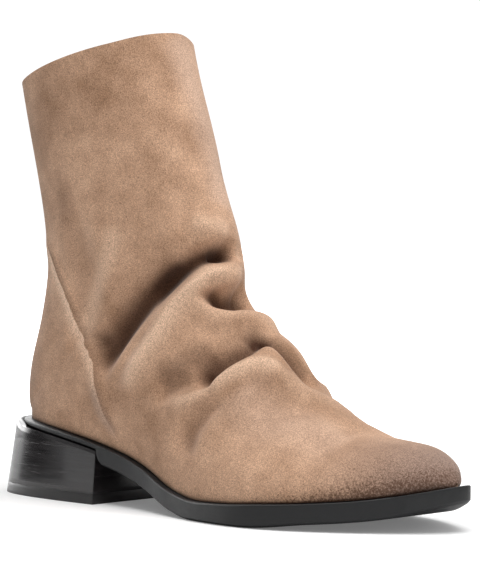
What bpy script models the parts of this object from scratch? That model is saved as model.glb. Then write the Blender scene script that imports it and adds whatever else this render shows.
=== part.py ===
"""Slouch ankle boot for the right foot: pull-on suede upper over a thin-edged sole and a low block heel.

The tables are in millimetres. X runs from the sole's back edge to the toe, Y from the outer side of the
foot (negative) to the inner side, Z up from the floor.
"""
import bmesh
import bpy
import numpy as np

MM = 0.001
GAP = 0.3            # clearance between pieces that touch
SOLE_LENGTH = 259.0
BALL_WIDTH = 86.6
FRAME_X = 124.5      # floor point under the middle of the boot, which becomes the frame's origin
FRAME_Y = -0.6
SOLE_THICK = 9.0     # side wall of the sole under the foot
RAND_THICK = 3.0     # edge of the sole over the heel
TOE_THIN = 1.5       # how much thinner the sole gets at the toe
THIN_FROM = 0.90     # share of the sole's length from which it gets thinner
FLAT_MIDDLE = 0.60   # share of the sole's length at which it lies on the floor
FLAT_TO = 0.67       # where it leaves the floor
SPRING_FROM = 0.80   # where it has its full toe spring
RIM_LIFT = 1.2       # how far the sole's edge stands off the floor
RIM_IN = 2.2         # how far in from that edge the tread begins
RIM_BULGE = 0.5      # how far the wall leans out at its foot
TOP_IN = 0.2
WELT = 3.4           # how far the sole stands out past the upper
TOE_WELT = 1.7       # how much further at the toe
WALL = 2.0           # suede and lining together
INSOLE_THICK = 2.8
INSOLE_IN = 2.2      # how far the insole's edge stays inside the upper
BREAST_X = 69.5      # front face of the heel at the floor
BREAST_LEAN = 1.2    # how much further forward that face is at the top
STEP_X = 71.8        # where the thick sole starts, just in front of the heel
STEP_LONG = 5.0      # length of that step's rounding
BOOT_HEIGHT = 217.2  # floor to the front of the collar: a change goes into the shaft
COLLAR_DROP = 23.7   # how much lower the collar is at the back
HEEL_BACK = -11.0    # back of the heel at the floor
HEEL_LEDGE_X = -4.2  # back of the heel's top, which stands out behind the sole's edge
HEEL_IN = 0.3        # how far the heel's top stays inside the sole's edge
HEEL_FLARE = 1.0     # how far each side of the heel stands out at the floor
HEEL_SWELL = 3.4     # how much rounder than the sole the heel is at its back
LIFT_THICK = 5.0
AROUND = 40          # faces from one side's lower edge over the front to the other's
BETWEEN = 4          # faces from one section row to the next where the upper creases

# Outline of the sole: share of its length, half width to the outer side and to the inner side
# as shares of the ball width.
OUTLINE = (
    (0.000, 0.000, 0.000),
    (0.019, 0.186, 0.186),
    (0.090, 0.308, 0.305),
    (0.190, 0.348, 0.334),
    (0.290, 0.350, 0.311),
    (0.390, 0.370, 0.283),
    (0.490, 0.436, 0.328),
    (0.595, 0.502, 0.424),
    (0.675, 0.525, 0.475),
    (0.757, 0.490, 0.463),
    (0.838, 0.400, 0.390),
    (0.919, 0.264, 0.250),
    (0.970, 0.152, 0.130),
    (1.000, 0.000, 0.000),
)
TOE_SWING = 10.8     # how far the toe turns to the inner side

# Side view of the sole's top: share of its length, height.
TREAD = (
    (0.00, 36.5), (0.14, 33.5), (0.29, 27.0), (0.35, 23.4), (0.41, 18.5), (0.475, 12.4),
    (0.55, 8.8), (0.62, 8.9), (0.72, 10.5), (0.80, 11.8), (0.90, 14.6), (1.00, 20.4),
)

# Sections of the upper from the toe to the collar. Each runs from its front point on the ridge to its
# back point, which is on the sole's edge line where no height is given.
# front x, front z, back x, back z, side shift of the ridge, half width, fullness of the side
SECTIONS = (
    ("toe_tip",     253.6,  21.0, 253.8, None, 10.5,  0.4, 1.00),
    ("toe_end",     251.2,  24.6, 252.4, None, 10.5,  5.5, 0.95),
    ("toe_edge",    247.4,  28.2, 248.8, None, 10.2, 10.5, 0.92),
    ("toe_cap",     241.2,  31.8, 242.5, None, 10.0, 17.5, 0.90),
    ("toe_box",     231.5,  35.4, 230.0, None, 10.0, 26.0, 0.92),
    ("vamp_low",    218.5,  36.8, 213.0, None,  9.0, 34.5, 0.95),
    ("ball_front",  205.0,  38.8, 194.0, None,  7.5, 40.0, 1.00),
    ("ball",        191.5,  46.0, 174.0, None,  6.0, 42.0, 1.05),
    ("ball_back",   178.6,  50.4, 153.0, None,  4.5, 40.0, 1.06),
    ("waist",       168.5,  64.6, 131.0, None,  3.0, 36.5, 1.04),
    ("instep_low",  158.2,  77.2, 108.0, None,  2.0, 34.0, 1.02),
    ("instep",      145.0,  85.5,  84.0, None,  1.0, 33.0, 1.00),
    ("instep_high", 135.0,  93.5,  58.0, None,  0.5, 33.0, 1.00),
    ("ankle_front", 130.4, 102.5,  34.0, None,  0.0, 33.0, 1.00),
    ("heel_side",   129.6, 112.5,  15.0, None,  0.0, 32.0, 0.92),
    ("heel_seat",   126.0, 121.5,   3.4, None,  0.0, 31.5, 0.78),
    ("heel_curve",  122.5, 131.5,   3.6, 55.0,  0.0, 31.0, 0.76),
    ("heel_top",    118.5, 142.5,  11.0, 80.0,  0.0, 30.5, 0.84),
    ("ankle",       114.5, 154.0,  15.2, 104.0, 0.0, 30.5, 0.92),
    ("shaft_low",   110.5, 166.5,  13.4, 127.0, 0.0, 31.5, 0.95),
    ("shaft",       105.5, 179.5,   9.0, 150.0, 0.0, 32.5, 0.96),
    ("shaft_high",  100.0, 194.0,   3.6, 172.5, 0.0, 33.5, 0.98),
    ("collar",       93.0, BOOT_HEIGHT, -0.5, BOOT_HEIGHT - COLLAR_DROP, 0.0, 35.0, 1.00),
)

# Creases of the upper: a path over the skin, as section number and share of the way round from the
# ridge (negative on the outer side), then how deep, and how wide above and below. A ridge is negative.
CREASED = (8, 16)
CREASES = (
    ("ankle_trough", 7.5, 9.0, 12.0,
     ((14.6, 0.06), (14.3, -0.08), (14.3, -0.19), (14.1, -0.32), (13.8, -0.44), (13.2, -0.55), (12.6, -0.66))),
    ("ankle_ridge", -4.5, 10.0, 12.0,
     ((13.2, 0.05), (13.5, -0.07), (13.8, -0.16), (13.3, -0.29), (12.6, -0.41), (12.1, -0.53), (11.3, -0.68))),
    ("pocket", 5.5, 7.5, 7.5,
     ((13.5, -0.18), (12.8, -0.19), (12.4, -0.16), (12.2, -0.08), (12.4, 0.02), (12.5, 0.14))),
    ("pocket_lip", -2.5, 5.5, 9.0,
     ((12.7, -0.24), (11.8, -0.20), (11.4, -0.12), (11.3, 0.00), (11.3, 0.12), (11.5, 0.26))),
    ("vamp_trough", 4.6, 9.0, 8.5,
     ((8.6, -0.06), (9.2, -0.09), (9.8, -0.10), (10.4, -0.14), (10.2, -0.24), (10.1, -0.34), (10.2, -0.50))),
    ("vamp_ridge", -3.0, 7.5, 12.0,
     ((8.2, -0.10), (8.7, -0.15), (9.2, -0.19), (9.7, -0.26), (9.9, -0.36), (10.1, -0.50), (10.4, -0.62))),
    ("vamp_dip", 1.6, 10.0, 10.0,
     ((8.5, -0.18), (8.8, -0.28), (9.0, -0.42))),
    ("side_dip", 2.0, 13.0, 13.0,
     ((9.7, -0.44), (9.4, -0.54), (9.2, -0.66), (9.1, -0.80))),
    ("inner_trough", 5.0, 10.0, 12.0,
     ((14.6, 0.04), (14.5, 0.18), (14.2, 0.31), (13.7, 0.44), (12.9, 0.58))),
    ("inner_ridge", -3.2, 10.0, 12.0,
     ((13.3, 0.06), (13.5, 0.18), (13.1, 0.33), (12.4, 0.46), (11.5, 0.62))),
    ("inner_vamp_trough", 3.0, 10.0, 10.0,
     ((9.5, 0.06), (9.9, 0.18), (10.0, 0.32), (10.3, 0.46))),
    ("counter_seam", -0.8, 5.0, 5.0,
     ((18.4, -1.00), (18.3, -0.78), (17.0, -0.65), (15.5, -0.56), (13.2, -0.68), (12.1, -0.80), (11.1, -0.98))),
    ("inner_counter_seam", -0.8, 5.0, 5.0,
     ((18.4, 1.00), (18.3, 0.78), (17.0, 0.65), (15.5, 0.56), (13.2, 0.68), (12.1, 0.80), (11.1, 0.98))),
)


def smooth(table, column, where):
    """Reads a column of a table between its rows along a smooth curve."""
    xs = np.array([row[0] for row in table], float)
    ys = np.array([row[column] for row in table], float)
    return through(xs, ys, where)


def through(xs, ys, where):
    where = np.clip(np.asarray(where, float), xs[0], xs[-1])
    step = np.diff(xs)
    slope = np.diff(ys) / step
    rate = np.empty(len(xs))
    rate[1:-1] = (slope[:-1] * step[1:] + slope[1:] * step[:-1]) / (step[:-1] + step[1:])
    rate[0], rate[-1] = 2 * slope[0] - rate[1], 2 * slope[-1] - rate[-2]
    at = np.clip(np.searchsorted(xs, where, "right") - 1, 0, len(step) - 1)
    t = (where - xs[at]) / step[at]
    t2, t3 = t * t, t * t * t
    return ((2 * t3 - 3 * t2 + 1) * ys[at] + (t3 - 2 * t2 + t) * step[at] * rate[at]
            + (3 * t2 - 2 * t3) * ys[at + 1] + (t3 - t2) * step[at] * rate[at + 1])


def ease(value, start, end):
    """Smooth rise from 0 to 1 between two values."""
    part = np.clip((value - start) / (end - start), 0, 1)
    return part * part * (3 - 2 * part)


def tread_height(x):
    return smooth(TREAD, 1, np.asarray(x, float) / SOLE_LENGTH)


def outline(inset, toe=0.0, count=400):
    """The sole's outline moved in by a distance, more so at the toe: x, y of the outer and of the inner side."""
    turn = np.linspace(0, 1, count)
    table = [(np.arccos(1 - 2 * row[0]) / np.pi, row[1], row[2]) for row in OUTLINE]
    share = (1 - np.cos(np.pi * turn)) / 2
    middle = TOE_SWING * np.clip((share - 0.55) / 0.45, 0, 1) ** 1.7
    x = share * SOLE_LENGTH
    inset = inset + toe * np.clip((share - 0.86) / 0.14, 0, 1) ** 2
    sides = []
    for column, sign in ((1, -1), (2, 1)):
        y = middle + sign * smooth(table, column, turn) * BALL_WIDTH
        dx, dy = np.gradient(x), np.gradient(y)
        size = np.hypot(dx, dy)
        px, py = x + sign * dy / size * inset, y - sign * dx / size * inset
        sides.append((px, py))
    back = max(sides[0][0][0], sides[1][0][0])
    front = min(sides[0][0][-1], sides[1][0][-1])
    along = back + (front - back) * share
    found = [np.interp(along, *ordered(px, py)) for px, py in sides]
    centre = (found[0] + found[1]) / 2
    ends = np.array([0, -1])
    found[0][ends] = found[1][ends] = centre[ends]
    return along, found[0], found[1]


def ordered(px, py):
    keep = np.maximum.accumulate(px) <= px
    return px[keep], py[keep]


FEATHER = outline(WELT, TOE_WELT)
CLOSED_FROM = max(i for i, row in enumerate(SECTIONS) if row[4] is None)


def section(number):
    """The values of the section at a number, which may lie between two rows."""
    number = np.asarray(number, float)
    rows = np.arange(len(SECTIONS), dtype=float)
    back_x = [row[3] for row in SECTIONS]
    back_z = [row[4] if row[4] is not None else tread_height(row[3]) + GAP for row in SECTIONS]
    columns = [[row[i] for row in SECTIONS] for i in (1, 2)]
    columns += [back_x, back_z] + [[row[i] for row in SECTIONS] for i in (5, 6, 7)]
    front_x, front_z, x, z, ridge, half, full = (
        through(rows, np.array(column, float), number) for column in columns)
    open_row = number < CLOSED_FROM
    x = np.where(number <= CLOSED_FROM, np.clip(x, FEATHER[0][0], FEATHER[0][-1]), x)
    lateral = np.interp(x, FEATHER[0], FEATHER[1])
    medial = np.interp(x, FEATHER[0], FEATHER[2])
    z = np.where(open_row, tread_height(x) + GAP, z)
    foot = np.where(open_row, (medial - lateral) / 2, 0.0)
    middle = np.where(open_row, (medial + lateral) / 2, 0.0)
    half = np.maximum(half, foot * 1.02)
    reach = np.where(open_row, np.pi - np.arcsin(np.clip(foot / half, 0, 1) ** (1 / full)), np.pi)
    return front_x, front_z, x, z, ridge, half, full, middle, reach


def skin(number, share):
    """Points of the upper before its creases: section number, and share of the way round (-1 to 1)."""
    front_x, front_z, x, z, ridge, half, full, middle, reach = section(number)
    angle = np.abs(share) * reach
    down = (1 - np.cos(angle)) / (1 - np.cos(reach))
    side = np.sign(share) * half * np.clip(np.sin(angle), 0, 1) ** full
    return np.stack([front_x + (x - front_x) * down,
                     ridge + (middle - ridge) * down + side,
                     front_z + (z - front_z) * down], -1)


def creased(number, share):
    """Points of the upper with its creases pressed in or raised along the skin's normal."""
    flat = skin(number, share)
    if not CREASES:
        return flat
    ahead = skin(number + 0.01, share) - skin(number - 0.01, share)
    across = skin(number, np.clip(share + 0.004, -1, 1)) - skin(number, np.clip(share - 0.004, -1, 1))
    normal = np.cross(across, ahead)
    normal /= np.maximum(np.linalg.norm(normal, axis=-1, keepdims=True), 1e-9)
    moved = np.zeros(flat.shape[:-1])
    for _, depth, above, below, path in CREASES:
        stops = np.array(path, float)
        knots = np.arange(len(stops), dtype=float)
        along = np.linspace(0, len(stops) - 1, 8 * len(stops))
        line = skin(through(knots, stops[:, 0], along), through(knots, stops[:, 1], along))
        share_of_line = along / along[-1]
        near = np.full(flat.shape[:-1], 1e9)
        height, place = np.zeros(flat.shape[:-1]), np.zeros(flat.shape[:-1])
        for i in range(len(line) - 1):
            run = line[i + 1] - line[i]
            t = np.clip(((flat - line[i]) @ run) / (run @ run), 0, 1)
            off = flat - line[i] - t[..., None] * run
            gap = np.linalg.norm(off, axis=-1)
            closer = gap < near
            near = np.where(closer, gap, near)
            height = np.where(closer, off[..., 2], height)
            place = np.where(closer, share_of_line[i] + t * (share_of_line[i + 1] - share_of_line[i]), place)
        upward = np.clip(height / np.maximum(near, 1.0), -1, 1)
        width = (above + below) / 2 + (above - below) / 2 * upward
        press = np.clip(1 - (near / width) ** 2, 0, 1) ** 2
        ends = np.clip(place / 0.16, 0, 1) * np.clip((1 - place) / 0.16, 0, 1)
        moved += depth * press * ends * (2 - ends)
    return flat - normal * moved[..., None]


def new_mesh(name, points, faces):
    """A mesh in metres, its double points merged and its faces turned out of the closed shape."""
    mesh = bpy.data.meshes.new(name)
    mesh.from_pydata((np.asarray(points) * MM).tolist(), [], faces)
    work = bmesh.new()
    work.from_mesh(mesh)
    bmesh.ops.remove_doubles(work, verts=work.verts, dist=0.00001)
    bmesh.ops.dissolve_degenerate(work, edges=work.edges, dist=0.000002)
    bmesh.ops.recalc_face_normals(work, faces=work.faces)
    work.to_mesh(mesh)
    work.free()
    return mesh


def block(name, levels):
    """A closed solid through outlines one above the other: each is x, outer y, inner y and z along the foot."""
    count = len(levels[0][0])
    points, faces = [], []
    for x, lateral, medial, z in levels:
        points += list(zip(x, lateral, z)) + list(zip(x, medial, z))
    for level in range(len(levels) - 1):
        low, high = level * 2 * count, (level + 1) * 2 * count
        for side in (0, count):
            for i in range(count - 1):
                faces.append((low + side + i, low + side + i + 1, high + side + i + 1, high + side + i))
        for i in (0, count - 1):
            faces.append((low + i, low + count + i, high + count + i, high + i))
    for base in (0, (len(levels) - 1) * 2 * count):
        for i in range(count - 1):
            faces.append((base + i, base + i + 1, base + count + i + 1, base + count + i))
    return new_mesh(name, points, faces)


def stations(inset, until=None, count=46, extra=(), toe=0.0):
    """The sole's outline read at points that crowd toward its ends, and at some more."""
    xs, lateral, medial = outline(inset, toe)
    if until is None:
        x = xs[0] + (xs[-1] - xs[0]) * (1 - np.cos(np.pi * np.linspace(0, 1, count))) / 2
    else:
        x = xs[0] + (until - xs[0]) * (1 - np.cos(np.pi / 2 * np.linspace(0, 1, count)))
    x = np.sort(np.append(x, extra))
    return x, np.interp(x, xs, lateral), np.interp(x, xs, medial)


def sole_bottom(x):
    """Underside of the sole: on the floor under the ball, stepped up to a thin edge over the heel."""
    share = x / SOLE_LENGTH
    under = np.maximum(tread_height(x) - SOLE_THICK, 0.0)
    spring = np.where(share > FLAT_MIDDLE, ease(share, FLAT_TO, SPRING_FROM), 1.0)
    under = under * spring + TOE_THIN * ease(share, THIN_FROM, 1.0)
    step = np.clip((x - STEP_X) / STEP_LONG, 0, 1)
    return under + (SOLE_THICK - RAND_THICK) * (1 - np.sqrt(1 - (1 - step) ** 2))


def make_sole():
    rings = []
    for inset, rise in ((RIM_IN, 0.0), (-RIM_BULGE, RIM_LIFT), (TOP_IN, None)):
        x, lateral, medial = stations(inset, count=64, extra=STEP_X + STEP_LONG * np.array([0, 0.06, 0.2, 0.44, 0.72, 1]))
        z = tread_height(x) if rise is None else sole_bottom(x) + rise
        rings.append((x, lateral, medial, z))
    return block("outsole", rings)


def make_heel(name, low, high, levels):
    """Part of the heel between two heights, where high may follow the sole."""
    rings = []
    for share in np.linspace(0, 1, levels):
        x, lateral, medial = stations(HEEL_IN, until=BREAST_X, count=26)
        fall = np.clip(1 - x / BREAST_X, 0, 1)
        top = tread_height(x + HEEL_LEDGE_X * fall + BREAST_LEAN * (1 - fall)) - RAND_THICK - GAP
        z = low + ((top if high is None else np.full_like(top, high)) - low) * share
        tall = z / top
        back = HEEL_BACK + (HEEL_LEDGE_X - HEEL_BACK) * tall
        shifted = x + back * fall + BREAST_LEAN * tall * (1 - fall)
        out = HEEL_FLARE * (1 - tall) + HEEL_SWELL * fall ** 3
        centre = (lateral + medial) / 2
        swell = np.clip((medial - lateral) / 8, 0, 1) * out
        rings.append((shifted, np.minimum(lateral - swell, centre), np.maximum(medial + swell, centre), z))
    return block(name, rings)


def make_insole():
    rings = []
    for height in (0.0, INSOLE_THICK):
        x, lateral, medial = stations(WELT + WALL + INSOLE_IN, count=40, toe=TOE_WELT)
        rings.append((x, lateral, medial, tread_height(x) + GAP + height))
    return block("insole", rings)


def make_upper():
    numbers = np.unique(np.concatenate([
        np.arange(0, CREASED[0], 1 / 2), np.arange(*CREASED, 1 / BETWEEN),
        np.arange(CREASED[1], len(SECTIONS)), [CLOSED_FROM - 0.1]]))
    share = np.linspace(-1, 1, AROUND + 1)
    grid = creased(*np.meshgrid(numbers, share, indexing="ij"))
    columns = len(share)
    faces = [(i * columns + j, i * columns + j + 1, (i + 1) * columns + j + 1, (i + 1) * columns + j)
             for i in range(len(numbers) - 1) for j in range(columns - 1)]
    return new_mesh("upper", grid.reshape(-1, 3), faces)


def material(name, color, roughness):
    made = bpy.data.materials.new(name)
    made.use_nodes = True
    shader = made.node_tree.nodes["Principled BSDF"]
    shader.inputs["Base Color"].default_value = (*color, 1.0)
    shader.inputs["Roughness"].default_value = roughness
    shader.inputs["Metallic"].default_value = 0.0
    return made


def main():
    for old in list(bpy.data.objects):
        bpy.data.objects.remove(old)
    group = bpy.data.collections.new("slouch_boot")
    bpy.context.scene.collection.children.link(group)
    floor_point = bpy.data.objects.new("floor_point", None)
    floor_point.location = (-FRAME_X * MM, -FRAME_Y * MM, 0)
    group.objects.link(floor_point)
    pieces = (
        (make_sole(), (0.045, 0.046, 0.050), 0.55),
        (make_heel("heel_block", LIFT_THICK + GAP, None, 5), (0.020, 0.018, 0.018), 0.22),
        (make_heel("top_lift", 0.0, LIFT_THICK, 2), (0.030, 0.028, 0.028), 0.35),
        (make_insole(), (0.45, 0.34, 0.25), 0.8),
        (make_upper(), (0.42, 0.26, 0.17), 0.9),
    )
    for mesh, color, roughness in pieces:
        piece = bpy.data.objects.new(mesh.name, mesh)
        piece.parent = floor_point
        mesh.materials.append(material(mesh.name + "_surface", color, roughness))
        mesh.shade_smooth()
        mesh.set_sharp_from_angle(angle=1.3 if mesh.name == "upper" else 0.6)
        group.objects.link(piece)
        if mesh.name == "upper":
            wall = piece.modifiers.new("wall", "SOLIDIFY")
            wall.thickness = WALL * MM
            wall.offset = -1
            wall.use_even_offset = True
            wall.thickness_clamp = 0.6


main()
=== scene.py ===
"""Dresses the slouch ankle boot: folded suede, lining, sole, heel, floor and light.

The tables are in millimetres, as the part's own are: X from the sole's back edge to the toe, Y from the
outer side of the foot (negative) to the inner side, Z up from the floor.
"""
import math

import bmesh
import bpy
import numpy as np
from mathutils import Matrix, Vector


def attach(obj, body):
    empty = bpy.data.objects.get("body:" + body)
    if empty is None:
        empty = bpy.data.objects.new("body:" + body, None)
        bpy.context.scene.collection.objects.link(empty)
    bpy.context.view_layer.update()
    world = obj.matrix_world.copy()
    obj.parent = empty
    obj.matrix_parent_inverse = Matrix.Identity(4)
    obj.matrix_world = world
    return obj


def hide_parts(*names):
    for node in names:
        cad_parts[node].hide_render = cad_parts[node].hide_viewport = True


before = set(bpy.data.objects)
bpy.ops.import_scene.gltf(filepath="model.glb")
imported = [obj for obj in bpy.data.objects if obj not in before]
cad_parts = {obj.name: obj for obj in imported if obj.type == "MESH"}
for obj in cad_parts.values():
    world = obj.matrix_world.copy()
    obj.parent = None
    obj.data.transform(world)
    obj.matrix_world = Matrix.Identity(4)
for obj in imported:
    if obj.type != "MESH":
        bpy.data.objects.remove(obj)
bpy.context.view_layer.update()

MM = 0.001
FLOOR_POINT = (124.5, -0.6, 0.0)   # where the frame's origin lies in the tables
GAP = 0.3               # between the sole and what stands on it
HEEL_GAP = 0.1          # between the sole and the heel
END_FADE = 0.16         # share of a fold over which each of its ends fades
SOLE_LENGTH = 259.0
BALL_WIDTH = 86.6
SOLE_THICK = 9.0
TOE_THIN = 1.5          # how much thinner the sole is at its tip
THIN_FROM = 0.90        # share of the sole's length from which it gets thinner
FLAT_MIDDLE = 0.60      # share of the sole's length at which it lies on the floor
FLAT_TO = (0.67, 0.80)  # where the sole leaves the floor, and where it has its full toe spring
RIM_LIFT = 1.2          # how far the edge of the sole stands off the floor
RAND_THICK = 3.0        # the sole's thin edge over the heel
WELT = 3.4              # how far the upper stands inside the sole's edge
TOE_WELT = 1.7          # how much further inside it stands at the toe
SUEDE = 1.2             # thickness
LINING = 0.7            # thickness
LINING_GAP = 0.4        # between suede and lining
INSOLE_THICK = 2.8
INSOLE_IN = 4.2         # how far the insole lies inside the upper's edge
BREAST_X = 69.5         # the heel's front face
BREAST_LEAN = 1.2       # how much further forward that face is at the top
STEP_X = 71.2           # where the sole starts to thicken in front of the heel
STEP_LONG = 4.0         # over which it reaches its full thickness
HEEL_IN = 0.3           # how far the heel's sides lie inside the sole's edge
HEEL_BACK = -11.0       # back of the heel at the floor
HEEL_LEDGE_X = -4.2     # back of the heel at its top
HEEL_FLARE = 1.0        # how far its sides stand out at the floor
HEEL_SWELL = 3.4        # how much fuller it is at the back
HEEL_BEVEL = 0.22       # worn edges of heel and lift
CUP_RISE = 2.9          # how far the back of the heel stands up behind the edge of the sole
CUP_SPAN = (0.74, 0.90)  # share of the heel's length from its front over which it comes to stand up
CUP_CLEAR = 0.4         # between its inner edge and the sole's
CUP_BACK = 0.7          # how far back that inner edge is moved
UNDER_SOLE = 1.5        # how far under the sole it runs where nothing stands up
LIFT_THICK = 5.0
LIFT_SEAM = (0.03, 0.05)  # how far the lift and the heel stay short of their joint
TOE_SWING = 10.8        # how far the toe turns to the inner side
SWING_FROM = 0.55       # share of the sole's length from which it turns
TIP_FROM = 0.86         # share of the sole's length from which an outline may be narrower at its tip
COLLAR_TILT = 2.2       # how much lower its inner side is
COLLAR_SAG = 0.9        # how far each side of the collar dips behind its middle
MERGE = 0.00002         # points nearer than this are one, in metres
SUEDE_BEND = 1.2        # angles in radians up to which an edge is shaded smooth: suede and lining,
RUBBER_BEND = 0.7       # sole and insole,
HEEL_BEND = 0.9         # heel and lift
DARK_WAY = -156         # the two ways, in degrees from the toe's, in which the polished heel
BRIGHT_WAY = 168        # mirrors a dark and a bright part of the studio

# Share of the sole's length, half width to the outer side and to the inner side as shares of the ball width.
OUTLINE = (
    (0.000, 0.000, 0.000),
    (0.019, 0.186, 0.186),
    (0.090, 0.308, 0.305),
    (0.190, 0.348, 0.334),
    (0.290, 0.350, 0.311),
    (0.390, 0.370, 0.283),
    (0.490, 0.436, 0.328),
    (0.595, 0.502, 0.424),
    (0.675, 0.525, 0.475),
    (0.757, 0.490, 0.463),
    (0.838, 0.400, 0.390),
    (0.919, 0.264, 0.250),
    (0.970, 0.152, 0.130),
    (1.000, 0.000, 0.000),
)

# Share of the sole's length, height of its top.
TREAD = (
    (0.00, 36.5), (0.14, 33.5), (0.29, 27.0), (0.35, 23.4), (0.41, 18.5), (0.475, 12.4),
    (0.55, 8.8), (0.62, 8.9), (0.72, 10.5), (0.80, 11.8), (0.90, 14.6), (1.00, 20.4),
)

# Front x, front z, back x, back z (none on the sole's edge), side shift of the ridge, half width, fullness.
SECTIONS = (
    ("toe_tip",     253.6,  21.0, 253.8, None, 10.5,  0.4, 1.00),
    ("toe_end",     251.2,  24.6, 252.4, None, 10.5,  5.5, 0.95),
    ("toe_edge",    247.4,  28.2, 248.8, None, 10.2, 10.5, 0.92),
    ("toe_cap",     241.2,  31.8, 242.5, None, 10.0, 17.5, 0.90),
    ("toe_box",     231.5,  35.4, 230.0, None, 10.0, 26.0, 0.92),
    ("vamp_low",    218.5,  36.8, 213.0, None,  9.0, 34.5, 0.95),
    ("ball_front",  205.0,  38.8, 194.0, None,  7.5, 40.0, 1.00),
    ("ball",        191.5,  46.0, 174.0, None,  6.0, 42.0, 1.05),
    ("ball_back",   178.6,  50.4, 153.0, None,  4.5, 40.0, 1.06),
    ("waist",       168.5,  64.6, 131.0, None,  3.0, 36.5, 1.04),
    ("instep_low",  158.2,  77.2, 108.0, None,  2.0, 34.0, 1.02),
    ("instep",      145.0,  85.5,  84.0, None,  1.0, 33.0, 1.00),
    ("instep_high", 135.0,  93.5,  58.0, None,  0.5, 33.0, 1.00),
    ("ankle_front", 130.4, 102.5,  34.0, None,  0.0, 33.0, 1.00),
    ("heel_side",   129.6, 112.5,  15.0, None,  0.0, 32.0, 0.92),
    ("heel_seat",   126.0, 121.5,   3.4, None,  0.0, 31.5, 0.78),
    ("heel_curve",  122.5, 131.5,   3.6, 55.0,  0.0, 31.0, 0.76),
    ("heel_top",    118.5, 142.5,  11.0, 80.0,  0.0, 30.5, 0.84),
    ("ankle",       114.5, 154.0,  15.2, 104.0, 0.0, 30.5, 0.92),
    ("shaft_low",   110.5, 166.5,  13.4, 127.0, 0.0, 31.5, 0.95),
    ("shaft",       105.5, 179.5,   9.0, 150.0, 0.0, 32.5, 0.96),
    ("shaft_high",  100.0, 194.0,   3.6, 172.5, 0.0, 33.5, 0.98),
    ("collar",       93.0, 217.2,  -0.5, 193.5, 0.0, 35.0, 1.00),
)

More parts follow.
